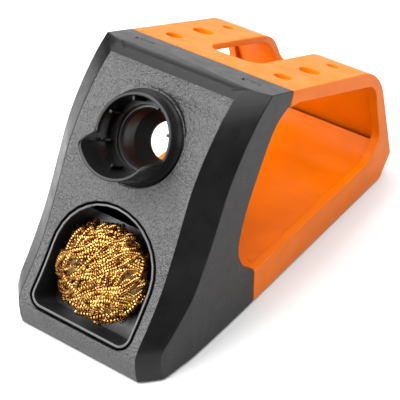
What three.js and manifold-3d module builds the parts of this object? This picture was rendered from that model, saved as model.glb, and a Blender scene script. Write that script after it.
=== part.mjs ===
// Bench stand for a soldering iron: a moulded front cover with a holder collar for the iron
// and a tray of brass wool for cleaning the tip, on an open rear frame with spare-tip holes.
// Millimetres, +Z up, +Y to the rear, +X to the right seen from the front.
import * as THREE from 'three';
import { mergeVertices } from 'three/addons/utils/BufferGeometryUtils.js';
import Module from 'manifold-3d';

const wasm = await Module();
wasm.setup();

// Overall size
const WIDTH = 80;
const LENGTH = 180.2;
const FOOT_PROUD = 1;

// Walls and clearances
const COVER_WALL = 2.5;
const FRAME_WALL = 3;
const FLANGE_WALL = 4;
const GAP = 0.3;
const HALF = WIDTH / 2;
const INNER_HALF = HALF - COVER_WALL - GAP;
const LINER_HALF = HALF - FLANGE_WALL - GAP;

// Top plane: it falls to the rear from the joint between cover and frame
const TOP_SLOPE = THREE.MathUtils.degToRad(21.2);
const JOINT_Y = 90.8;
const JOINT_Z = 91.8;

// Front cover
const BEVEL_START_X = 30;
const BEVEL_RATIO = 1.06;
const SEAM_Y = 66.3;
const CLIP = { x: 26, s: -9.5, length: 8.4, width: 2 };

// Rear frame
const FLANGE_HEIGHT = 16.4;
const FLANGE_TOP = 5.8;
const REAR_FOOT_Z = 9.6;
const REAR_CORNER = [162.8, 63.9];
const REAR_RADIUS = 34;
const TIP_HOLE_X = 27;
const TIP_HOLES = [{ s: 13.2, r: 3.6 }, { s: 35.3, r: 4.5 }, { s: 55.5, r: 2.35 }];
const CUTOUT = { halfWidth: 12.5, frontS: 15, cornerR: 8, floorZ: 46, lowHalfWidth: 14.5, flareZ: 56 };
const TONGUE = { depth: 2.8, height: 2.6, upperFront: -15, upperRear: 4, lowerFront: 48, lowerRear: 72 };
const WEB_SETBACK = 1.2;
const WEB_WALL = 2.8;
const WEB_HOLE_R = 15;

// Holder collar: depths run inward along its axis from the plane of its rim
const COLLAR = { y: 39.65, z: 82.73, tilt: THREE.MathUtils.degToRad(56.6) };
const RIM_R = 17.5;
const BORE_R = 16;
const COLLAR_BASE_R = 19.2;
const HUB_R = 17;
const HUB_INNER_R = 15.6;
const HUB_HOLE_R = 17.4;
const LUG_R = 18.6;
const SEAT_DEPTH = 5.9;
const SEAT_R = 19.8;
const BOSS_R = 24.5;
const BOSS_BACK = 12;
const RING_BACK = 14.3;
const COLLAR_FLOOR = { r: 13.1, top: -8.8, back: -10.4 };
const HUB_END = 17;
const LUG_COUNT = 3;
const LUG_ANGLE = THREE.MathUtils.degToRad(30);
const BAYONET_TURN = THREE.MathUtils.degToRad(45);
const SCOOP_RISE = 11.5;
const RIB_COUNT = 8;
const RING_SCREW_R = 21.9;
const RING_R = 24.2;
const RING_SCREW_DEPTH = -9.3;

// Tray for the brass wool: its local frame is centred on the arch of its opening
const RECESS = { y: 16.1, z: 34.1, tilt: THREE.MathUtils.degToRad(53.7) };
const ARCH_R = 25.6;
const ARCH_DROP = 26.5;
const ARCH_CORNER = 6.5;
const TRAY_DEPTH = 16.4;
const TRAY_WALL = 1.3;
const TRAY_FLOOR = 1.8;
const TRAY_CLEARANCE = 0.7;
const POCKET_WALL = 1.8;
const WOOL = { rx: 21.4, ry: 21, rz: 9.2, y: -2.2, z: -5.1, shell: 0.5 };

// Base liner and ballast
const LINER = {
  front: 67.5, under: 7.6, floor: 9.6, wall: 1.6, bossR: 3.2,
  ramp: [[149.8, 9.6], [157.6, 11.7], [164.9, 14.4], [170.8, 20]],
};
const BALLAST = { halfWidth: 26.5, front: 73, rear: 145, cornerR: 4, thickness: 4 };

// Fasteners and feet
const SCREW = {
  shankR: 1.4, headR: 2.8, headHeight: 1.4, holeR: 1.75, boreR: 3.2, boreDepth: 1.7,
  slotLength: 3.6, slotWidth: 0.8,
};
const FOOT = { r: 5.5, height: 1.9 };
const COVER_SCREWS = [[-24, 56], [24, 56]];
const BASE_SCREWS = [[-31, 80], [31, 80], [-31, 135], [31, 135]];
const FEET = [[-22, 15], [22, 15], [-27, 158], [27, 158]];

// ---------------------------------------------------------------- helpers

const Y_ALONG_X = new THREE.Matrix4().makeBasis(
  new THREE.Vector3(0, 1, 0), new THREE.Vector3(0, 0, 1), new THREE.Vector3(1, 0, 0));

function solid(geometry, matrix) {
  if (matrix) geometry.applyMatrix4(matrix);
  geometry.deleteAttribute('normal');
  geometry.deleteAttribute('uv');
  const merged = mergeVertices(geometry, 1e-4);
  return new wasm.Manifold(new wasm.Mesh({
    numProp: 3,
    vertProperties: new Float32Array(merged.attributes.position.array),
    triVerts: new Uint32Array(merged.index.array),
  }));
}

// A prism from a shape, from depth a to depth b along the shape's own +Z
function prism(shape, a, b, matrix, curveSegments = 8) {
  const geometry = new THREE.ExtrudeGeometry(shape, { depth: b - a, bevelEnabled: false, curveSegments });
  geometry.translate(0, 0, a);
  return solid(geometry, matrix);
}

// A side outline in (y, z), extruded across the width from -half to +half
const acrossWidth = (shape, half) => prism(shape, -half, half, Y_ALONG_X);

// An outline with an arc at each corner that has a radius: [x, y, radius]
function rounded(corners) {
  const shape = new THREE.Shape();
  corners.forEach(([x, y, r = 0], i) => {
    const here = new THREE.Vector2(x, y);
    const last = corners[(i + corners.length - 1) % corners.length];
    const next = corners[(i + 1) % corners.length];
    const back = new THREE.Vector2(last[0], last[1]).sub(here).normalize();
    const ahead = new THREE.Vector2(next[0], next[1]).sub(here).normalize();
    const start = (px, py) => (i === 0 ? shape.moveTo(px, py) : shape.lineTo(px, py));
    if (r === 0) {
      start(x, y);
      return;
    }
    const half = Math.acos(THREE.MathUtils.clamp(back.dot(ahead), -1, 1)) / 2;
    const centre = back.clone().add(ahead).normalize().multiplyScalar(r / Math.sin(half)).add(here);
    const from = back.clone().multiplyScalar(r / Math.tan(half)).add(here).sub(centre);
    const to = ahead.clone().multiplyScalar(r / Math.tan(half)).add(here).sub(centre);
    start(centre.x + from.x, centre.y + from.y);
    shape.absarc(centre.x, centre.y, r, from.angle(), to.angle(), from.cross(to) < 0);
  });
  shape.closePath();
  return shape;
}

const polygon = (points) => new THREE.Shape(points.map(([x, y]) => new THREE.Vector2(x, y)));

// Points of a smooth curve through a few points
function smooth(points, count) {
  const curve = new THREE.SplineCurve(points.map(([x, y]) => new THREE.Vector2(x, y)));
  return curve.getSpacedPoints(count).map((p) => [p.x, p.y]);
}

// The same line moved sideways: a positive distance moves it to the left of its direction
function offsetLine(points, distance) {
  return points.map(([x, y], i) => {
    const a = points[Math.max(i - 1, 0)];
    const b = points[Math.min(i + 1, points.length - 1)];
    const length = Math.hypot(b[0] - a[0], b[1] - a[1]);
    return [x - (b[1] - a[1]) / length * distance, y + (b[0] - a[0]) / length * distance];
  });
}

// Local frame on a sloping face: +X across, +Y up the face, +Z out of it
function faceFrame({ y, z, tilt }) {
  const up = new THREE.Vector3(0, Math.cos(tilt), Math.sin(tilt));
  const out = new THREE.Vector3(0, -Math.sin(tilt), Math.cos(tilt));
  return new THREE.Matrix4().makeBasis(new THREE.Vector3(1, 0, 0), up, out).setPosition(0, y, z);
}

const COLLAR_FRAME = faceFrame(COLLAR);
const RECESS_FRAME = faceFrame(RECESS);
const TOP_FRAME = faceFrame({ y: JOINT_Y, z: JOINT_Z, tilt: -TOP_SLOPE });
const UPRIGHT = new THREE.Matrix4();

// A turned solid about the +Z of a frame, from a profile of [radius, height]
function turned(profile, frame, segments = 36) {
  const points = profile.map(([r, h]) => new THREE.Vector2(r, h));
  if (THREE.ShapeUtils.isClockWise(points)) points.reverse();
  points.push(points[0]);
  const toZ = new THREE.Matrix4().makeRotationX(Math.PI / 2);
  return solid(new THREE.LatheGeometry(points, segments), frame.clone().multiply(toZ));
}

const disc = (frame, x, y, r, a, b, sides = 16) => solid(
  new THREE.CylinderGeometry(r, r, b - a, sides).rotateX(Math.PI / 2).translate(x, y, (a + b) / 2), frame);

const box = (frame, x, y, z, sx, sy, sz, turn = 0) => solid(
  new THREE.BoxGeometry(sx, sy, sz).translate(x, y, z).rotateZ(turn), frame);

const topLine = (y) => JOINT_Z - (y - JOINT_Y) * Math.tan(TOP_SLOPE);

// A point on the top plane: s runs to the rear along the slope, depth runs down into it
const onTop = (s, depth = 0) => [
  JOINT_Y + s * Math.cos(TOP_SLOPE) - depth * Math.sin(TOP_SLOPE),
  JOINT_Z - s * Math.sin(TOP_SLOPE) - depth * Math.cos(TOP_SLOPE),
];

function wedge(frame, r, centre, angle, a, b) {
  const shape = new THREE.Shape();
  shape.absarc(0, 0, r, centre - angle / 2, centre + angle / 2, false);
  shape.lineTo(0, 0);
  return prism(shape, a, b, frame, 6);
}

// ---------------------------------------------------------------- outlines

// Front of the cover in the side view, from the chin up the concave face to the top edge
const FACE = smooth([
  [1, 0], [0.25, 4], [0.25, 13], [2.6, 17], [8.6, 23.3], [17.2, 34], [24.4, 46], [30.8, 58.4],
  [37.2, 70.4], [45.9, 81.8], [55.6, 91.3], [62, 96], [67, 98.7], [73.1, topLine(73.1)]], 30);

// Rear edge of the cover's side wall, from the joint down to the foot
const SIDE_EDGE = smooth([
  [88.2, 85.9], [79.5, 82.2], [70.8, 71], [59.5, 51.4], [54.9, 36], [58.4, 25.4], [SEAM_Y, 17.6]], 18);

// The tray's arch-shaped outline, grown by a margin
function arch(margin) {
  const r = ARCH_R + margin;
  const low = -ARCH_DROP - margin;
  const corner = ARCH_CORNER + margin;
  const shape = new THREE.Shape();
  shape.absarc(0, 0, r, 0, Math.PI, false);
  shape.absarc(-r + corner, low + corner, corner, Math.PI, 1.5 * Math.PI, false);
  shape.absarc(r - corner, low + corner, corner, 1.5 * Math.PI, 2 * Math.PI, false);
  shape.closePath();
  return shape;
}

// Plan of the cover: its sides close in a little towards the front
function plan(inset) {
  const side = smooth([[34.2, -3], [36.9, 8], [38.9, 21], [39.7, 40], [HALF, 64], [HALF, 110]], 8)
    .map(([x, y]) => [x - inset, y]);
  return polygon([...side, ...side.map(([x, y]) => [-x, y]).reverse()]);
}

// Everything behind both front bevels: the face swept back at an angle from startX outwards
function behindBevels(face, startX) {
  const top = face[face.length - 1];
  const outline = polygon([...face, [top[0], 150], [250, 150], [250, face[0][1]]]);
  const shear = (sign) => new THREE.Matrix4().set(
    1, 0, 0, 0,
    sign * BEVEL_RATIO, 1, 0, -startX * BEVEL_RATIO,
    0, 0, 1, 0,
    0, 0, 0, 1);
  const swept = (sign) => prism(outline, -HALF - 5, HALF + 5, shear(sign).multiply(Y_ALONG_X));
  return swept(1).intersect(swept(-1));
}

// ---------------------------------------------------------------- pieces

// The cover as a solid block from its face to well behind it, or the same shrunk by a wall
function coverBlock(inset) {
  const line = offsetLine(FACE, -inset);
  const face = [[line[0][0], inset], ...line.filter(([, z]) => z > inset + 0.5)];
  const outline = polygon([...face, onTop(60, inset), [146, inset]]);
  return acrossWidth(outline, HALF + 5)
    .intersect(behindBevels(face, BEVEL_START_X - inset * 0.4))
    .intersect(prism(plan(inset), -5, 120, UPRIGHT));
}

// Everything behind the cover's rear edge
const SIDE_CUT = polygon([
  [JOINT_Y, JOINT_Z], onTop(0, -30), [200, 150], [200, -5], [SEAM_Y, -5], ...SIDE_EDGE.slice().reverse()]);

function frontCover() {
  const block = coverBlock(0);
  const seat = disc(COLLAR_FRAME, 0, 0, SEAT_R, -BOSS_BACK, -SEAT_DEPTH - GAP, 48);
  const boss = disc(COLLAR_FRAME, 0, 0, BOSS_R, -BOSS_BACK, 20, 36).intersect(block);
  const pocket = prism(arch(POCKET_WALL), -TRAY_DEPTH - GAP - POCKET_WALL, 20, RECESS_FRAME).intersect(block);
  let cover = block.subtract(coverBlock(COVER_WALL))
    .add(boss).add(seat).add(pocket)
    .subtract(prism(arch(0), -TRAY_DEPTH - GAP, 30, RECESS_FRAME))
    .subtract(disc(COLLAR_FRAME, 0, 0, HUB_HOLE_R, -BOSS_BACK - 5, 20, 36))
    .subtract(disc(COLLAR_FRAME, 0, 0, SEAT_R, -SEAT_DEPTH - GAP, 20, 48))
    .subtract(acrossWidth(SIDE_CUT, HALF + 10));
  for (let i = 0; i < LUG_COUNT; i += 1) {
    const at = lugAngle(i) + BAYONET_TURN;
    cover = cover.subtract(wedge(COLLAR_FRAME, LUG_R + GAP, at, LUG_ANGLE * 1.2, -BOSS_BACK - 5, 0));
    const [x, y] = ringScrewAt(i);
    cover = cover.subtract(disc(COLLAR_FRAME, x, y, SCREW.holeR, -BOSS_BACK - 1, RING_SCREW_DEPTH));
  }
  for (const side of [-1, 1]) {
    cover = cover.subtract(box(TOP_FRAME, side * CLIP.x, CLIP.s, 0, CLIP.length, CLIP.width, 12));
  }
  for (const [x, y] of COVER_SCREWS) {
    cover = cover.subtract(disc(UPRIGHT, x, y, SCREW.holeR, -1, 6))
      .subtract(disc(UPRIGHT, x, y, SCREW.boreR, -1, SCREW.boreDepth));
  }
  return footPockets(cover, FEET.slice(0, 2));
}

function footPockets(body, feet) {
  return feet.reduce((b, [x, y]) => b.subtract(
    disc(UPRIGHT, x, y, FOOT.r + GAP, -1, FOOT.height - FOOT_PROUD + GAP, 24)), body);
}

const lugAngle = (i) => Math.PI / 2 + i * 2 * Math.PI / LUG_COUNT;

function ringScrewAt(i) {
  const at = lugAngle(i) - Math.PI / LUG_COUNT;
  return [RING_SCREW_R * Math.cos(at), RING_SCREW_R * Math.sin(at)];
}

function holderCollar() {
  let collar = turned([
    [BORE_R, 0], [RIM_R, 0], [RIM_R + 0.5, -3.5], [COLLAR_BASE_R, -SEAT_DEPTH], [HUB_R, -SEAT_DEPTH],
    [HUB_R, -HUB_END], [HUB_INNER_R, -HUB_END], [HUB_INNER_R, COLLAR_FLOOR.back],
    [COLLAR_FLOOR.r, COLLAR_FLOOR.back], [COLLAR_FLOOR.r, COLLAR_FLOOR.top],
    [HUB_INNER_R, COLLAR_FLOOR.top]], COLLAR_FRAME, 60);
  // The scoop carries the iron's handle: the wall rises in an S on each side of the lower half
  const wall = turned([[BORE_R, -1], [RIM_R, -1], [RIM_R, SCOOP_RISE], [BORE_R, SCOOP_RISE]], COLLAR_FRAME);
  const lip = polygon([...smooth([[-3.2, -2], [-3.6, 0], [-5.4, 5.4], [-7.4, 10.2], [-9.6, SCOOP_RISE]], 10),
    [-RIM_R - 1, SCOOP_RISE], [-RIM_R - 1, -2]]);
  const lipSide = prism(lip, -RIM_R - 2, RIM_R + 2, COLLAR_FRAME.clone().multiply(Y_ALONG_X));
  collar = collar.add(wall.intersect(lipSide));
  for (let i = 0; i < RIB_COUNT; i += 1) {
    const turn = (i + 0.5) * 2 * Math.PI / RIB_COUNT;
    collar = collar.add(box(COLLAR_FRAME, BORE_R - 0.7, 0, -5.2, 2.2, 1.2, 7.4, turn));
  }
  for (let i = 0; i < LUG_COUNT; i += 1) {
    const lug = wedge(COLLAR_FRAME, LUG_R, lugAngle(i), LUG_ANGLE, -HUB_END, -RING_BACK - GAP)
      .subtract(disc(COLLAR_FRAME, 0, 0, HUB_R - 0.4, -HUB_END - 1, 0, 36));
    collar = collar.add(lug);
  }
  return collar;
}

// The iron's guide: a stepped bore that narrows to the hole that the tip passes through
function ironSleeve() {
  return turned([
    [12.3, -10.8], [15.2, -10.8], [15.2, -12.4], [14.2, -12.4], [14.2, -21.5], [9.8, -27.2],
    [7.9, -27.2], [7.9, -26.2], [12.5, -21.5], [12.5, -13.8], [11.6, -13.4], [11.6, -12]], COLLAR_FRAME);
}

function bayonetRing() {
  let ring = turned([[HUB_R + GAP, -RING_BACK], [RING_R, -RING_BACK], [RING_R, -BOSS_BACK - GAP],
    [HUB_R + GAP, -BOSS_BACK - GAP]], COLLAR_FRAME).intersect(coverBlock(COVER_WALL + GAP));
  for (let i = 0; i < LUG_COUNT; i += 1) {
    const at = lugAngle(i) + BAYONET_TURN;
    ring = ring.subtract(wedge(COLLAR_FRAME, LUG_R + GAP, at, LUG_ANGLE * 1.2, -RING_BACK - 1, 0));
    const [x, y] = ringScrewAt(i);
    ring = ring.subtract(disc(COLLAR_FRAME, x, y, SCREW.holeR, -RING_BACK - 1, 0));
  }
  return ring;
}

// Pan-head screw, slotted: its head is below the given height and its shank points up
function screw(frame, x, y, headTop, length) {
  const headEnd = headTop - SCREW.headHeight;
  const head = disc(frame, x, y, SCREW.headR, headEnd, headTop, 24);
  const shank = disc(frame, x, y, SCREW.shankR, headTop - 0.4, headTop + length, 16);
  return head.add(shank).subtract(box(frame, x, y, headEnd, SCREW.slotLength, SCREW.slotWidth, 1.2));
}

function woolTray() {
  return prism(arch(-TRAY_CLEARANCE), -TRAY_DEPTH, 30, RECESS_FRAME)
    .intersect(coverBlock(0))
    .subtract(prism(arch(-TRAY_CLEARANCE - TRAY_WALL), -TRAY_DEPTH + TRAY_FLOOR, 30, RECESS_FRAME));
}

// The ball of wool is mostly air, so its solid is a thin shell with a hole at the back
function brassWool() {
  const ball = (shrink) => solid(new THREE.SphereGeometry(1, 24, 14)
    .scale(WOOL.rx - shrink, WOOL.ry - shrink, WOOL.rz - shrink)
    .translate(0, WOOL.y, WOOL.z), RECESS_FRAME);
  return ball(0).subtract(ball(WOOL.shell)).subtract(disc(RECESS_FRAME, 0, WOOL.y, 6, -20, WOOL.z));
}

const frameOutline = () => rounded([
  [SEAM_Y + GAP, 0], [171.9, 0, 1], [LENGTH, REAR_FOOT_Z, 1.5], [...REAR_CORNER, REAR_RADIUS],
  onTop(GAP), onTop(GAP, FLANGE_TOP + 6), [SEAM_Y + GAP, 40]]);

// Inside of the frame's skin, open to the front
function skinInside() {
  const w = FRAME_WALL;
  const rearLean = Math.atan2(LENGTH - REAR_CORNER[0], REAR_CORNER[1] - REAR_FOOT_Z);
  const inward = w / Math.cos(rearLean);
  const cornerY = REAR_CORNER[0] - inward - w * Math.sin(TOP_SLOPE);
  return rounded([
    [40, w], [170.6, w, 2], [LENGTH - inward - 0.4, REAR_FOOT_Z + 0.6, 2],
    [cornerY, topLine(cornerY) - w / Math.cos(TOP_SLOPE), REAR_RADIUS - w], onTop(-40, w)]);
}

// The side opening that the flanges surround
const flangeInside = () => rounded([
  [40, FLANGE_HEIGHT], [160.5, FLANGE_HEIGHT, 9], [167.2, 26, 5], [158.9, 57.8, 13],
  [95.8, 83.7], [88.7, 84.8], [40, 80]]);

function rearFrame() {
  let frame = acrossWidth(frameOutline(), HALF)
    .subtract(acrossWidth(flangeInside(), HALF + 1))
    .subtract(acrossWidth(skinInside(), HALF - FLANGE_WALL));
  // Web behind the cover, and the two tongues that plug into the cover
  const edge = [...SIDE_EDGE, [SEAM_Y, 3.5]];
  const web = polygon([
    ...offsetLine(edge, -WEB_SETBACK), ...offsetLine(edge, -WEB_SETBACK - WEB_WALL).reverse()]);
  const { depth, height, upperFront, upperRear, lowerFront, lowerRear } = TONGUE;
  const upperTongue = polygon([onTop(upperFront, depth), onTop(upperRear, depth),
    onTop(upperRear, depth + height), onTop(upperFront, depth + height)]);
  const lowerTongue = polygon([[lowerFront, depth], [lowerRear, depth], [lowerRear, depth + height],
    [lowerFront, depth + height]]);
  frame = frame.add(acrossWidth(web, INNER_HALF))
    .add(acrossWidth(upperTongue, INNER_HALF - 3))
    .add(acrossWidth(lowerTongue, INNER_HALF - 3))
    .subtract(disc(COLLAR_FRAME, 0, 0, WEB_HOLE_R, -60, -20, 40));
  for (const side of [-1, 1]) {
    frame = frame.add(box(TOP_FRAME, side * CLIP.x, CLIP.s, -2.2, CLIP.length - 0.8, CLIP.width - 0.8, 3));
    for (const { s, r } of TIP_HOLES) {
      frame = frame.subtract(disc(TOP_FRAME, side * TIP_HOLE_X, s, r, -9, 5, 28));
    }
  }
  const { halfWidth, frontS, cornerR, floorZ, lowHalfWidth, flareZ } = CUTOUT;
  const slot = rounded([[-halfWidth, frontS, cornerR], [halfWidth, frontS, cornerR], [halfWidth, 90],
    [-halfWidth, 90]]);
  // Its rear part is a little wider where it runs down the rear wall
  const rearSlot = rounded([[-lowHalfWidth, floorZ, 5], [lowHalfWidth, floorZ, 5], [lowHalfWidth, flareZ, 4],
    [halfWidth, flareZ + 11], [halfWidth, 90], [-halfWidth, 90], [-halfWidth, flareZ + 11],
    [-lowHalfWidth, flareZ, 4]]);
  const alongY = new THREE.Matrix4().makeRotationX(Math.PI / 2);
  frame = frame.subtract(prism(slot, -12, 10, TOP_FRAME))
    .subtract(prism(rearSlot, -190, -140, alongY));
  for (const [x, y] of COVER_SCREWS) frame = frame.subtract(disc(UPRIGHT, x, y, SCREW.holeR, 2, 8));
  for (const [x, y] of BASE_SCREWS) {
    frame = frame.subtract(disc(UPRIGHT, x, y, SCREW.holeR, -1, 4))
      .subtract(disc(UPRIGHT, x, y, SCREW.boreR, -1, SCREW.boreDepth));
  }
  return footPockets(frame, FEET.slice(2));
}

// Orange liner over the ballast: a flat floor, then a ramp that climbs the rear wall
function baseLiner() {
  const { front, under, floor, wall, bossR } = LINER;
  const ramp = smooth(LINER.ramp, 12);
  const rampUnder = offsetLine(ramp, -wall).filter(([, z]) => z > under + 0.4);
  const profile = polygon([
    [front, under], [ramp[0][0], under], ...rampUnder, ...ramp.slice().reverse(), [front, floor]]);
  let liner = acrossWidth(profile, LINER_HALF);
  for (const [x, y] of BASE_SCREWS) {
    liner = liner.add(disc(UPRIGHT, x, y, bossR, FRAME_WALL + GAP, floor - 0.5, 24))
      .add(disc(UPRIGHT, x, y, bossR - 0.3, floor - 1, floor + 0.3, 24))
      .subtract(disc(UPRIGHT, x, y, SCREW.holeR, 0, floor - 1));
  }
  return liner;
}

function ballastPlate() {
  const { halfWidth, front, rear, cornerR, thickness } = BALLAST;
  const plate = rounded([[-halfWidth, front, cornerR], [halfWidth, front, cornerR],
    [halfWidth, rear, cornerR], [-halfWidth, rear, cornerR]]);
  return prism(plate, FRAME_WALL + GAP, FRAME_WALL + GAP + thickness, UPRIGHT);
}

const foot = ([x, y]) => turned([[0, -FOOT_PROUD], [FOOT.r - 0.6, -FOOT_PROUD], [FOOT.r, -FOOT_PROUD + 0.6],
  [FOOT.r, FOOT.height - FOOT_PROUD], [0, FOOT.height - FOOT_PROUD]],
new THREE.Matrix4().makeTranslation(x, y, 0), 24);

// ---------------------------------------------------------------- scene

const LOOKS = {
  blackPlastic: { color: 0x2b2c2e, roughness: 0.55, metalness: 0 },
  innerBlack: { color: 0x1b1c1d, roughness: 0.5, metalness: 0 },
  orangePlastic: { color: 0xff7a12, roughness: 0.5, metalness: 0 },
  brass: { color: 0xc99a3c, roughness: 0.3, metalness: 1 },
  steel: { color: 0x9a9da0, roughness: 0.35, metalness: 1 },
  rubber: { color: 0x161616, roughness: 0.9, metalness: 0 },
};

const stand = new THREE.Group();
stand.name = 'soldering_iron_stand';

function addPiece(name, body, look) {
  const mesh = body.getMesh();
  const geometry = new THREE.BufferGeometry();
  geometry.setAttribute('position', new THREE.BufferAttribute(mesh.vertProperties, 3));
  geometry.setIndex(new THREE.BufferAttribute(mesh.triVerts, 1));
  geometry.computeVertexNormals();
  const piece = new THREE.Mesh(geometry, new THREE.MeshStandardMaterial(LOOKS[look]));
  piece.name = name;
  stand.add(piece);
}

addPiece('front_cover', frontCover(), 'blackPlastic');
addPiece('holder_collar', holderCollar(), 'blackPlastic');
addPiece('iron_sleeve', ironSleeve(), 'innerBlack');
addPiece('bayonet_ring', bayonetRing(), 'innerBlack');
addPiece('wool_tray', woolTray(), 'innerBlack');
addPiece('brass_wool', brassWool(), 'brass');
addPiece('rear_frame', rearFrame(), 'orangePlastic');
addPiece('base_liner', baseLiner(), 'orangePlastic');
addPiece('ballast_plate', ballastPlate(), 'steel');
const FOOT_NAMES = ['foot_front_left', 'foot_front_right', 'foot_rear_left', 'foot_rear_right'];
FEET.forEach((at, i) => addPiece(FOOT_NAMES[i], foot(at), 'rubber'));
COVER_SCREWS.forEach(([x, y], i) => addPiece(
  `cover_screw_${i + 1}`, screw(UPRIGHT, x, y, SCREW.boreDepth - 0.1, 4), 'steel'));
BASE_SCREWS.forEach(([x, y], i) => addPiece(
  `base_screw_${i + 1}`, screw(UPRIGHT, x, y, SCREW.boreDepth - 0.1, 6), 'steel'));
for (let i = 0; i < LUG_COUNT; i += 1) {
  const [x, y] = ringScrewAt(i);
  const head = -RING_BACK - GAP;
  addPiece(`ring_screw_${i + 1}`, screw(COLLAR_FRAME, x, y, head, 4.9), 'steel');
}

// The origin is on the ground, below the middle of the stand
const bounds = new THREE.Box3().setFromObject(stand);
stand.position.set(0, -(bounds.min.y + bounds.max.y) / 2, FOOT_PROUD);

export default stand;
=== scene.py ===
"""Looks of the soldering iron stand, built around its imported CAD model. Metres, +Z up, front at -Y."""
import math
import random

import bmesh
import bpy
import numpy as np
from mathutils import Matrix, Vector


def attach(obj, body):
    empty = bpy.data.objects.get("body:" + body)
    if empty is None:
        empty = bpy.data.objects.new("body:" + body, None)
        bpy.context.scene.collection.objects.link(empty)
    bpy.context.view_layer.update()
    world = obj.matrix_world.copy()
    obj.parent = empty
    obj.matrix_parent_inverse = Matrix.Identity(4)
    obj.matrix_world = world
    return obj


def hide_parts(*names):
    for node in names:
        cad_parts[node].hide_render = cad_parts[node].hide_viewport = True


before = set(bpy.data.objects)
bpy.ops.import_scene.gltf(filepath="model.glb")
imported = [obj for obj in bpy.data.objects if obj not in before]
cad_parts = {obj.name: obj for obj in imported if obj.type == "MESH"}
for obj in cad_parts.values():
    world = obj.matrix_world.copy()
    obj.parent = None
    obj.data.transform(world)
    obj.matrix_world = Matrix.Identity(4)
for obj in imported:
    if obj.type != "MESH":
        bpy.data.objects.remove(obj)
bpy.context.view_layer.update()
MM = 0.001

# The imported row's origin: part millimetres become row metres by this shift
SHIFT = Vector((0, -90.035, 1))

# Angles in degrees and distances that the mesh helpers share
SMOOTH_ANGLE = 40
SHARP_ANGLE = 28
FLAT_ANGLE = 0.6
MERGE_DISTANCE = 0.02 * MM

# The cover's curved face and its bevels are swept in strips. A face lies on one if its normal points
# forward (-Y) and not down, and if it reaches far enough from the middle plane. Slivers don't count.
STRIP_FORWARD = -0.25
STRIP_DOWN = -0.25
STRIP_REACH = 29.5 * MM
STRIP_AREA = 4 * MM * MM
SHADED_AREA = 0.5 * MM * MM
PANEL_TILT = 0.12
BEVEL_TILT = 0.85


# ---------------------------------------------------------------- mesh helpers

def face_frame(origin, out):
    """Local frame on a sloping face: +X across, +Y up the face, +Z out of it."""
    out = Vector(out).normalized()
    across = Vector((1, 0, 0))
    up = out.cross(across)
    basis = Matrix((across, up, out)).transposed().to_4x4()
    return Matrix.Translation(origin) @ basis


def new_piece(name, bm, body, replaced=(), smooth_angle=SMOOTH_ANGLE):
    """A finished mesh object that rides on a body and stands for CAD nodes."""
    bmesh.ops.recalc_face_normals(bm, faces=bm.faces)
    mesh = bpy.data.meshes.new(name)
    bm.to_mesh(mesh)
    bm.free()
    mesh.shade_smooth()
    mesh.set_sharp_from_angle(angle=math.radians(smooth_angle))
    piece = bpy.data.objects.new(name, mesh)
    bpy.context.scene.collection.objects.link(piece)
    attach(piece, body)
    if replaced:
        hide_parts(*replaced)
    return piece


def cad_mesh(node):
    """A clean copy of a CAD node: shared corners merged and flat areas joined."""
    bm = bmesh.new()
    bm.from_mesh(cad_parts[node].data)
    bmesh.ops.remove_doubles(bm, verts=bm.verts, dist=MERGE_DISTANCE)
    flat = math.radians(FLAT_ANGLE)
    bmesh.ops.dissolve_limit(bm, angle_limit=flat, verts=bm.verts, edges=bm.edges)
    return bm


def round_edges(bm, width, segments=2, keep=lambda edge: True):
    """Rounds each sharp outer edge that keep says yes to.

    Inner corners stay sharp: where they meet at a shallow angle, rounding them throws points far off.
    """
    limit = math.radians(SHARP_ANGLE)
    edges = [e for e in bm.edges
             if e.is_manifold and e.is_convex and e.calc_face_angle(0) > limit and keep(e)]
    bmesh.ops.bevel(bm, geom=edges, offset=width, segments=segments, profile=0.5, affect="EDGES",
                    clamp_overlap=False, loop_slide=True)


def strip_group(normal):
    """Names the swept surface of the cover that a face belongs to, if any."""
    if normal.y > STRIP_FORWARD or normal.z < STRIP_DOWN:
        return None
    if abs(normal.x) < PANEL_TILT:
        return "panel"
    if abs(normal.x) < BEVEL_TILT:
        return "bevel_right" if normal.x > 0 else "bevel_left"
    return None


def strip_curves(faces):
    """For each swept surface, its normal at the middle height of each of its strips."""
    strips = {}
    for face in faces:
        group = strip_group(face.normal)
        if group and face.reach > STRIP_REACH and face.area > STRIP_AREA:
            key = (group, round(face.normal.x, 3), round(face.normal.z, 3))
            low, high, normal = strips.get(key, (face.low, face.high, face.normal))
            strips[key] = (min(low, face.low), max(high, face.high), normal)
    curves = {}
    for (group, _, _), (low, high, normal) in strips.items():
        curves.setdefault(group, []).append(((low + high) / 2, normal))
    return {group: sorted(points, key=lambda point: point[0]) for group, points in curves.items()}


class Face:
    """What even_shading needs to know about one face."""

    def __init__(self, mesh, polygon):
        self.normal = polygon.normal.copy()
        self.area = polygon.area
        heights = [mesh.vertices[i].co.z for i in polygon.vertices]
        self.low, self.high = min(heights), max(heights)
        self.reach = max(abs(mesh.vertices[i].co.x) for i in polygon.vertices)


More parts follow.
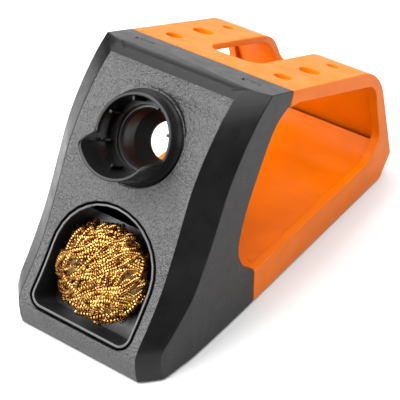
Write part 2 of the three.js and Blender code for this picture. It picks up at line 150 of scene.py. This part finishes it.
def even_shading(piece, swept=False):
    """Corner normals led by the largest faces, so that flat areas stay flat next to rounded edges.

    With swept, the cover's curved face and bevels take a normal that follows the height smoothly.
    """
    mesh = piece.data
    faces = [Face(mesh, polygon) for polygon in mesh.polygons]
    curves = strip_curves(faces) if swept else {}
    around = [[] for _ in mesh.vertices]
    for polygon in mesh.polygons:
        for i in polygon.vertices:
            around[i].append(polygon.index)

    def normal_at(face, height):
        on_strip = face.reach > STRIP_REACH and face.area > SHADED_AREA
        points = curves.get(strip_group(face.normal)) if on_strip else None
        if not points:
            return face.normal
        levels = [level for level, _ in points]
        columns = zip(*(normal for _, normal in points))
        return Vector([float(np.interp(height, levels, column)) for column in columns])

    limit = math.cos(math.radians(SMOOTH_ANGLE))
    normals = []
    for polygon in mesh.polygons:
        own = faces[polygon.index]
        for i in polygon.vertices:
            height = mesh.vertices[i].co.z
            total = Vector()
            for j in around[i]:
                other = faces[j]
                if other.normal.dot(own.normal) > limit:
                    total += normal_at(other, height).normalized() * max(other.area, 1e-12)
            normals.append(total.normalized() if total.length > 0 else own.normal)
    mesh.normals_split_custom_set(normals)


def carried(node, body, look, width, segments=2, keep=lambda edge: True):
    """A CAD node with its sharp outer edges rounded."""
    bm = cad_mesh(node)
    round_edges(bm, width, segments, keep=keep)
    piece = new_piece(node + "_skin", bm, body, [node])
    piece.data.materials.append(look)
    even_shading(piece)


def row(y, z):
    """A point of the middle plane, from part millimetres to row metres."""
    return (Vector((0, y, z)) + SHIFT) * MM


def turned_bmesh(frame_matrix, outline, sides):
    """Turns a closed outline(angle) -> [(radius, height) mm] about a frame's +Z, angle 0 at its +Y."""
    bm = bmesh.new()
    columns = []
    for i in range(sides):
        angle = 2 * math.pi * i / sides
        places = [Vector((r * math.sin(angle), r * math.cos(angle), h)) * MM for r, h in outline(angle)]
        columns.append([bm.verts.new(frame_matrix @ place) for place in places])
    for i, column in enumerate(columns):
        after = columns[(i + 1) % sides]
        for j in range(len(column)):
            k = (j + 1) % len(column)
            bm.faces.new((column[j], column[k], after[k], after[j]))
    return bm


def add_box(bm, frame_matrix, centre, size, turn, bevel):
    """Adds a box with rounded edges (mm), turned about the frame's +Z."""
    part = bmesh.new()
    bmesh.ops.create_cube(part, size=1)
    bmesh.ops.scale(part, vec=size, verts=part.verts)
    bmesh.ops.bevel(part, geom=part.edges[:], offset=bevel, segments=2, profile=0.5, affect="EDGES")
    bmesh.ops.translate(part, vec=centre, verts=part.verts)
    bmesh.ops.rotate(part, matrix=Matrix.Rotation(turn, 3, "Z"), verts=part.verts)
    bmesh.ops.scale(part, vec=(MM, MM, MM), verts=part.verts)
    bmesh.ops.transform(part, matrix=frame_matrix, verts=part.verts)
    mesh = bpy.data.meshes.new("part")
    part.to_mesh(mesh)
    part.free()
    bm.from_mesh(mesh)
    bpy.data.meshes.remove(mesh)


# ---------------------------------------------------------------- materials

# Most of a noise texture's values lie between these
NOISE_MIDDLE = (0.3, 0.7)

class Look:
    """A procedural material whose patterns follow the piece's own coordinates."""

    def __init__(self, name, color, roughness, metallic=0.0, specular=0.5):
        self.material = bpy.data.materials.new(name)
        self.material.use_nodes = True
        self.tree = self.material.node_tree
        self.shader = self.tree.nodes["Principled BSDF"]
        self.shader.inputs["Base Color"].default_value = (*color, 1)
        self.shader.inputs["Roughness"].default_value = roughness
        self.shader.inputs["Metallic"].default_value = metallic
        self.shader.inputs["Specular IOR Level"].default_value = specular
        self.place = self.tree.nodes.new("ShaderNodeTexCoord").outputs["Object"]

    def noise(self, grain, detail=2.0, stretch=(1, 1, 1)):
        """Noise with grains of a size in millimetres."""
        mapping = self.tree.nodes.new("ShaderNodeMapping")
        mapping.inputs["Scale"].default_value = stretch
        self.tree.links.new(self.place, mapping.inputs["Vector"])
        node = self.tree.nodes.new("ShaderNodeTexNoise")
        node.inputs["Scale"].default_value = 1 / (grain * MM)
        node.inputs["Detail"].default_value = detail
        self.tree.links.new(mapping.outputs["Vector"], node.inputs["Vector"])
        return node.outputs["Fac"]

    def between(self, source, low, high):
        """Maps the middle of a noise to a range of values."""
        node = self.tree.nodes.new("ShaderNodeMapRange")
        node.inputs["From Min"].default_value = NOISE_MIDDLE[0]
        node.inputs["From Max"].default_value = NOISE_MIDDLE[1]
        node.inputs["To Min"].default_value = low
        node.inputs["To Max"].default_value = high
        self.tree.links.new(source, node.inputs["Value"])
        return node.outputs["Result"]

    def vary_roughness(self, source, low, high):
        self.tree.links.new(self.between(source, low, high), self.shader.inputs["Roughness"])

    def vary_color(self, source, dark, light):
        mix = self.tree.nodes.new("ShaderNodeMix")
        mix.data_type = "RGBA"
        mix.inputs["A"].default_value = (*dark, 1)
        mix.inputs["B"].default_value = (*light, 1)
        self.tree.links.new(self.between(source, 0, 1), mix.inputs["Factor"])
        self.tree.links.new(mix.outputs["Result"], self.shader.inputs["Base Color"])

    def bump(self, layers):
        """Adds surface relief from (noise, height in mm) layers, coarse to fine."""
        normal = None
        for source, height in layers:
            node = self.tree.nodes.new("ShaderNodeBump")
            node.inputs["Distance"].default_value = height * MM
            self.tree.links.new(source, node.inputs["Height"])
            if normal:
                self.tree.links.new(normal, node.inputs["Normal"])
            normal = node.outputs["Normal"]
        self.tree.links.new(normal, self.shader.inputs["Normal"])


def eroded_black(name, color, grain, height, rough):
    """Spark-eroded black plastic: a fine grain with slow changes in gloss."""
    look = Look(name, color, rough, specular=0.62)
    look.vary_color(look.noise(9, 2), color, [1.5 * c for c in color])
    look.vary_roughness(look.noise(14, 3), rough - 0.04, rough + 0.05)
    look.bump([(look.noise(grain * 2.4, 2), height * 0.7), (look.noise(grain, 3), height)])
    return look.material


def satin_black(name, color, rough, specular=0.5):
    """Smooth black plastic with a faint flow pattern and handling wear."""
    look = Look(name, color, rough, specular=specular)
    look.vary_color(look.noise(12, 2), color, [1.4 * c for c in color])
    look.vary_roughness(look.noise(5, 3), rough - 0.05, rough + 0.06)
    look.bump([(look.noise(3.5, 2), 0.012), (look.noise(0.5, 2), 0.006)])
    return look.material


def moulded_orange(name):
    look = Look(name, (0.60, 0.122, 0.0), 0.42, specular=0.09)
    look.vary_color(look.noise(16, 2), (0.56, 0.113, 0.0), (0.64, 0.131, 0.0))
    look.vary_roughness(look.noise(7, 3), 0.33, 0.45)
    look.bump([(look.noise(4, 2), 0.02), (look.noise(0.7, 2), 0.008)])
    return look.material


def curled_brass(name):
    look = Look(name, (0.5, 0.24, 0.05), 0.25, metallic=1)
    look.vary_color(look.noise(3.2, 3), (0.12, 0.040, 0.005), (0.60, 0.33, 0.09))
    look.vary_roughness(look.noise(0.8, 2), 0.14, 0.30)
    look.bump([(look.noise(0.18, 2), 0.004)])
    return look.material


def painted_shade_core(name):
    """Painted shade: a dark lump that stands for the shaded depth of the ball, behind its outer strands.
    """
    look = Look(name, (0.05, 0.022, 0.006), 0.7, metallic=0.6)
    look.vary_color(look.noise(1.1, 4), (0.018, 0.008, 0.003), (0.16, 0.08, 0.02))
    look.bump([(look.noise(0.9, 3), 0.5)])
    return look.material


def brushed_zinc(name):
    look = Look(name, (0.55, 0.56, 0.57), 0.3, metallic=1)
    look.vary_color(look.noise(2.5, 2), (0.46, 0.47, 0.49), (0.62, 0.63, 0.64))
    look.vary_roughness(look.noise(0.35, 2, (1, 14, 1)), 0.22, 0.42)
    look.bump([(look.noise(0.25, 2, (1, 16, 1)), 0.004)])
    return look.material


def foot_rubber(name):
    look = Look(name, (0.02, 0.02, 0.02), 0.85, specular=0.3)
    look.vary_color(look.noise(2, 3), (0.014, 0.014, 0.014), (0.032, 0.031, 0.03))
    look.bump([(look.noise(0.4, 3), 0.03)])
    return look.material


PANEL = eroded_black("cover_panel", (0.013, 0.013, 0.0135), 0.85, 0.75, 0.40)
SATIN = satin_black("cover_satin", (0.004, 0.004, 0.0042), 0.30, specular=0.19)
INNER = satin_black("inner_black", (0.006, 0.006, 0.006), 0.42)
TRAY = satin_black("tray_black", (0.007, 0.007, 0.0075), 0.34)
ORANGE = moulded_orange("orange_plastic")
BRASS = curled_brass("brass_ribbon")
CORE = painted_shade_core("brass_painted_shade")
ZINC = brushed_zinc("zinc_steel")
RUBBER = foot_rubber("foot_rubber")


# ---------------------------------------------------------------- camera, floor and light

CAMERA_PLACE = (0.2676, -0.37667, 0.3837)
CAMERA_AZIMUTH = 35.839
CAMERA_ELEVATION = 38.11
CAMERA_LENS = 122.19
CAMERA_SENSOR = 36

FLOOR_HALF = 6
LIGHT_TARGET = (0, -0.02, 0.05)
# Soft boxes: place, width and height in metres, radiance
LIGHTS = {
    "front_left_box": ((-0.62, -1.02, 0.78), (1.1, 1.7), 10),
    "overhead_box": ((0.0, 0.1, 1.6), (2.6, 2.6), 4.4),
    "right_box": ((1.3, 0.35, 0.55), (0.8, 0.8), 2.5),
    "rear_left_strip": ((-0.75, 0.95, 0.35), (0.9, 0.6), 1.3),
}


def make_camera():
    azimuth = math.radians(CAMERA_AZIMUTH)
    elevation = math.radians(CAMERA_ELEVATION)
    level = math.cos(elevation)
    forward = Vector((-math.sin(azimuth) * level, math.cos(azimuth) * level, -math.sin(elevation)))
    data = bpy.data.cameras.new("camera")
    data.sensor_width = CAMERA_SENSOR
    data.lens = CAMERA_LENS
    camera = bpy.data.objects.new("camera", data)
    camera.location = CAMERA_PLACE
    camera.rotation_euler = forward.to_track_quat("-Z", "Y").to_euler()
    bpy.context.scene.collection.objects.link(camera)
    bpy.context.scene.camera = camera


def area_light(name, place, size, radiance):
    """A soft box whose power gives its surface the stated radiance."""
    data = bpy.data.lights.new(name, "AREA")
    data.shape = "RECTANGLE"
    data.size, data.size_y = size
    data.energy = radiance * math.pi * size[0] * size[1]
    light = bpy.data.objects.new(name, data)
    light.location = place
    light.rotation_euler = (Vector(LIGHT_TARGET) - Vector(place)).to_track_quat("-Z", "Y").to_euler()
    bpy.context.scene.collection.objects.link(light)


def make_stage():
    bpy.context.scene.view_settings.view_transform = "Standard"
    world = bpy.data.worlds.new("studio")
    bpy.context.scene.world = world
    world.use_nodes = True
    world.node_tree.nodes["Background"].inputs["Color"].default_value = (0.06, 0.06, 0.06, 1)
    bm = bmesh.new()
    bmesh.ops.create_grid(bm, x_segments=8, y_segments=8, size=FLOOR_HALF)
    mesh = bpy.data.meshes.new("floor")
    bm.to_mesh(mesh)
    bm.free()
    floor = bpy.data.objects.new("floor", mesh)
    bpy.context.scene.collection.objects.link(floor)
    pale = Look("floor_pale", (0.55, 0.55, 0.55), 0.9)
    pale.vary_color(pale.noise(60, 2), (0.54, 0.54, 0.54), (0.56, 0.56, 0.56))
    mesh.materials.append(pale.material)
    for name, (place, size, radiance) in LIGHTS.items():
        area_light(name, place, size, radiance)


# ---------------------------------------------------------------- front cover

COLLAR_OUT = Vector((0, -math.sin(math.radians(56.6)), math.cos(math.radians(56.6))))
COLLAR_FRAME = face_frame(row(39.65, 82.73), COLLAR_OUT)
# Edges farther than this from the collar's axis are rounded, above it and below it
SEAT_CLEAR_ABOVE = 30 * MM
SEAT_CLEAR_BELOW = 26 * MM
COVER_EDGE = 0.45 * MM
PANEL_HALF = 30.2 * MM
PANEL_FORWARD = -0.3


def front_cover():
    """The cover, with a grained panel between its two bevels."""
    bm = cad_mesh("front_cover")
    to_collar = COLLAR_FRAME.inverted()

    def clear_of_collar(edge):
        """The crowded edges round the collar's seat stay sharp, and the collar covers most of them."""
        places = [to_collar @ vert.co for vert in edge.verts]
        return all(place.xy.length > (SEAT_CLEAR_ABOVE if place.y > 0 else SEAT_CLEAR_BELOW)
                   for place in places)

    round_edges(bm, COVER_EDGE, keep=clear_of_collar)
    bm.normal_update()
    for face in bm.faces:
        forward = face.normal.y < PANEL_FORWARD and abs(face.normal.x) < PANEL_TILT
        panel = forward and abs(face.calc_center_median().x) < PANEL_HALF
        face.material_index = 1 if panel else 0
    piece = new_piece("front_cover_skin", bm, "stand", ["front_cover"])
    piece.data.materials.append(SATIN)
    piece.data.materials.append(PANEL)
    even_shading(piece, swept=True)


# ---------------------------------------------------------------- holder collar and sleeve

# Millimetres in the collar's frame
RIM_R = 17.5
BORE_R = 16.0
LIP = 0.5
LIP_CHAMFER = 0.15
# The rim's height over the distance up the face: the scoop, a smooth rise, then level
RIM_HEIGHTS = ((-9.9, 11.5), (-9.0, 11.25), (-8.2, 10.8), (-7.4, 10.0), (-6.4, 8.0), (-5.4, 5.4),
               (-4.6, 2.9), (-4.0, 1.2), (-3.4, 0.35), (-2.6, 0.0))
# Radius and height of the collar below its rim: flared skirt, barrel, inner shoulder and bore
COLLAR_BODY = [(RIM_R, -0.8), (17.65, -2.2), (18.0, -3.5), (18.55, -4.8), (19.2, -5.6), (19.2, -5.9),
               (17, -5.9), (17, -16.8), (16.8, -17), (15.8, -17), (15.6, -16.8), (15.6, -10.4),
               (13.3, -10.4), (13.1, -10.2), (13.1, -9.0), (13.3, -8.8), (15.6, -8.8), (15.75, -5.5),
               (15.9, -2.2)]
SLEEVE_PROFILE = [(12.3, -10.8), (15.0, -10.8), (15.2, -11.0), (15.2, -12.2), (15.0, -12.4),
                  (14.2, -12.4), (14.2, -21.5), (13.8, -22.2), (10.0, -27.0), (9.6, -27.2),
                  (8.0, -27.2), (7.9, -27.1), (7.9, -26.3), (8.0, -26.1), (12.4, -21.7), (12.5, -21.4),
                  (12.5, -13.8), (11.7, -13.4), (11.6, -13.3), (11.6, -12.1), (11.7, -11.9),
                  (12.2, -10.95)]
COLLAR_SIDES = 288
SLEEVE_SIDES = 96
# Counts, places and sizes (across the radius, round it, along the axis) of the ribs and lugs
RIBS = 8
RIB_CENTRE = (BORE_R - 0.7, 0, -5.2)
RIB_SIZE = (2.2, 1.2, 7.4)
LUGS = 3
LUG_CENTRE = (17.6, 0, -15.8)
LUG_SIZE = (2.0, 8.6, 2.4)


def rim_height(angle):
    """The collar's rim: level round the upper half, then a smooth rise to the scoop."""
    up = RIM_R * math.cos(angle)
    return float(np.interp(up, *zip(*RIM_HEIGHTS)))


def collar_profile(angle):
    top = rim_height(angle)
    return [(BORE_R, top - LIP), (BORE_R + LIP_CHAMFER, top - LIP_CHAMFER), (BORE_R + LIP, top),
            (RIM_R - LIP, top), (RIM_R - LIP_CHAMFER, top - LIP_CHAMFER), (RIM_R, top - LIP),
            *COLLAR_BODY]


def holder_collar():
    bm = turned_bmesh(COLLAR_FRAME, collar_profile, COLLAR_SIDES)
    for i in range(RIBS):
        turn = (i + 0.5) * 2 * math.pi / RIBS
        add_box(bm, COLLAR_FRAME, RIB_CENTRE, RIB_SIZE, turn, 0.25)
    for i in range(LUGS):
        turn = math.pi / 2 + i * 2 * math.pi / LUGS
        add_box(bm, COLLAR_FRAME, LUG_CENTRE, LUG_SIZE, turn, 0.2)
    piece = new_piece("holder_collar_skin", bm, "collar", ["holder_collar"])
    piece.data.materials.append(SATIN)


def iron_sleeve():
    bm = turned_bmesh(COLLAR_FRAME, lambda angle: SLEEVE_PROFILE, SLEEVE_SIDES)
    piece = new_piece("iron_sleeve_skin", bm, "collar", ["iron_sleeve"])
    piece.data.materials.append(INNER)


# ---------------------------------------------------------------- brass wool

WOOL_OUT = Vector((0, -math.sin(math.radians(53.7)), math.cos(math.radians(53.7))))
WOOL_FRAME = face_frame(row(16.1, 34.1), WOOL_OUT)
WOOL_CENTRE = np.array((0, -2.2, -5.1))
WOOL_RADII = np.array((22.2, 21.5, 9.7))
# Each strand crosses the ball's front at a lean (mean and spread in radians), a depth in mm and an
# offset from the middle. The two steps spread the strands' offsets and starts evenly.
STRANDS = 112
WOOL_SEED = 11
STRAND_LEAN = (0.8, 0.4)
STRAND_DEPTHS = (-0.2, 2.6)
STRAND_REACH = 0.92
STRAND_LIMIT = 0.97
OFFSET_STEP = 0.618
START_STEP = 0.755
START_TURN = -1.6
START_SPREAD = 1.8
END_TURN = 1.65
STRAND_POINTS = 230
TURN_POINTS = 8
CURL_R = 1.1
CURL_PITCH = 1.2
RIBBON = (0.27, 0.045)
CORE_DEPTH = 2.1
CORE_LUMP = 0.35


def on_ball(direction, depth):
    """A point of the ball's surface in a direction, sunk by a depth in millimetres."""
    unit = direction / np.linalg.norm(direction)
    return WOOL_CENTRE + unit * (WOOL_RADII - CURL_R - depth)


def strand_path(rng, index):
    """A gently swaying line that crosses the front of the ball, most of them on one diagonal."""
    lean = rng.gauss(*STRAND_LEAN)
    along = np.array((math.cos(lean), math.sin(lean), 0))
    across = np.array((-math.sin(lean), math.cos(lean), 0))
    offset = -STRAND_REACH + 2 * STRAND_REACH * (index * OFFSET_STEP % 1)
    depth = rng.uniform(*STRAND_DEPTHS)
    sway, pace, phase = rng.uniform(0.03, 0.12), rng.uniform(0.02, 0.05), rng.uniform(0, 2 * math.pi)
    turn = START_TURN + START_SPREAD * (index * START_STEP % 1)
    step = CURL_PITCH / TURN_POINTS / WOOL_RADII[0]
    points = []
    for i in range(STRAND_POINTS):
        aside = max(-STRAND_LIMIT, min(STRAND_LIMIT, offset + sway * math.sin(pace * i + phase)))
        half = math.sqrt(1 - aside * aside)
        spot = half * math.sin(turn) * along + aside * across
        spot[2] = half * math.cos(turn)
        sunk = depth + 0.5 * math.sin(0.06 * i + 2 * phase)
        points.append(on_ball(spot, max(STRAND_DEPTHS[0], sunk)))
        turn += step / max(half, 0.3)
        if turn > END_TURN:
            break
    return np.array(points)


def add_strand(bm, rng, index):
    """One ribbon curled round its path."""
    path = strand_path(rng, index)
    ahead = np.gradient(path, axis=0)
    ahead /= np.linalg.norm(ahead, axis=1)[:, None]
    radius = CURL_R * rng.uniform(0.7, 1.15)
    phase = rng.uniform(0, 2 * math.pi)
    way = rng.choice((-1, 1))
    previous = None
    for i, (point, along) in enumerate(zip(path, ahead)):
        outward = (point - WOOL_CENTRE) / WOOL_RADII
        outward -= along * outward.dot(along)
        outward /= np.linalg.norm(outward)
        across = np.cross(along, outward)
        angle = phase + way * 2 * math.pi * i / TURN_POINTS + 0.25 * math.sin(i * 0.13 + phase)
        radial = math.cos(angle) * outward + math.sin(angle) * across
        centre = point + radial * radius
        corners = [centre + along * a * RIBBON[0] + radial * b * RIBBON[1]
                   for a, b in ((-1, -1), (1, -1), (1, 1), (-1, 1))]
        ring = [bm.verts.new(WOOL_FRAME @ (Vector(corner) * MM)) for corner in corners]
        if previous:
            for j in range(4):
                k = (j + 1) % 4
                bm.faces.new((previous[j], previous[k], ring[k], ring[j]))
        else:
            bm.faces.new(ring)
        previous = ring
    bm.faces.new(previous[::-1])


def brass_wool():
    rng = random.Random(WOOL_SEED)
    bm = bmesh.new()
    for index in range(STRANDS):
        add_strand(bm, rng, index)
    strands = new_piece("brass_strands", bm, "tray", ["brass_wool"], smooth_angle=50)
    strands.data.materials.append(BRASS)

    # The core is painted shade: a dark lump where the shaded inside of the ball would be.
    core = bmesh.new()
    bmesh.ops.create_icosphere(core, subdivisions=5, radius=1)
    for vert in core.verts:
        x, y, _ = vert.co
        lump = CORE_LUMP * math.sin(9 * x + 4 * y) + CORE_LUMP * math.sin(11 * y - 5 * x)
        place = WOOL_CENTRE + np.array(vert.co) * (WOOL_RADII - CORE_DEPTH + lump)
        vert.co = WOOL_FRAME @ (Vector(place) * MM)
    piece = new_piece("brass_core", core, "tray")
    piece.data.materials.append(CORE)


# ---------------------------------------------------------------- the whole stand

HIDDEN_HALF = 37.4 * MM
HIDDEN_BACK = -1 * MM


def outside_cover(edge):
    """The frame's web and tongues are hidden inside the cover, so their edges stay sharp."""
    return not all(abs(vert.co.x) < HIDDEN_HALF and vert.co.y < HIDDEN_BACK for vert in edge.verts)


make_camera()
make_stage()
front_cover()
holder_collar()
iron_sleeve()
brass_wool()
carried("wool_tray", "tray", TRAY, 0.4 * MM, 3)
carried("rear_frame", "stand", ORANGE, 0.5 * MM, keep=outside_cover)
carried("base_liner", "stand", ORANGE, 0.3 * MM)
carried("bayonet_ring", "stand", INNER, 0.2 * MM)
carried("ballast_plate", "stand", ZINC, 0.3 * MM)
for node in sorted(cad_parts):
    if node.startswith("foot_"):
        carried(node, "stand", RUBBER, 0.2 * MM)
    elif "screw" in node:
        carried(node, "stand", ZINC, 0.15 * MM)
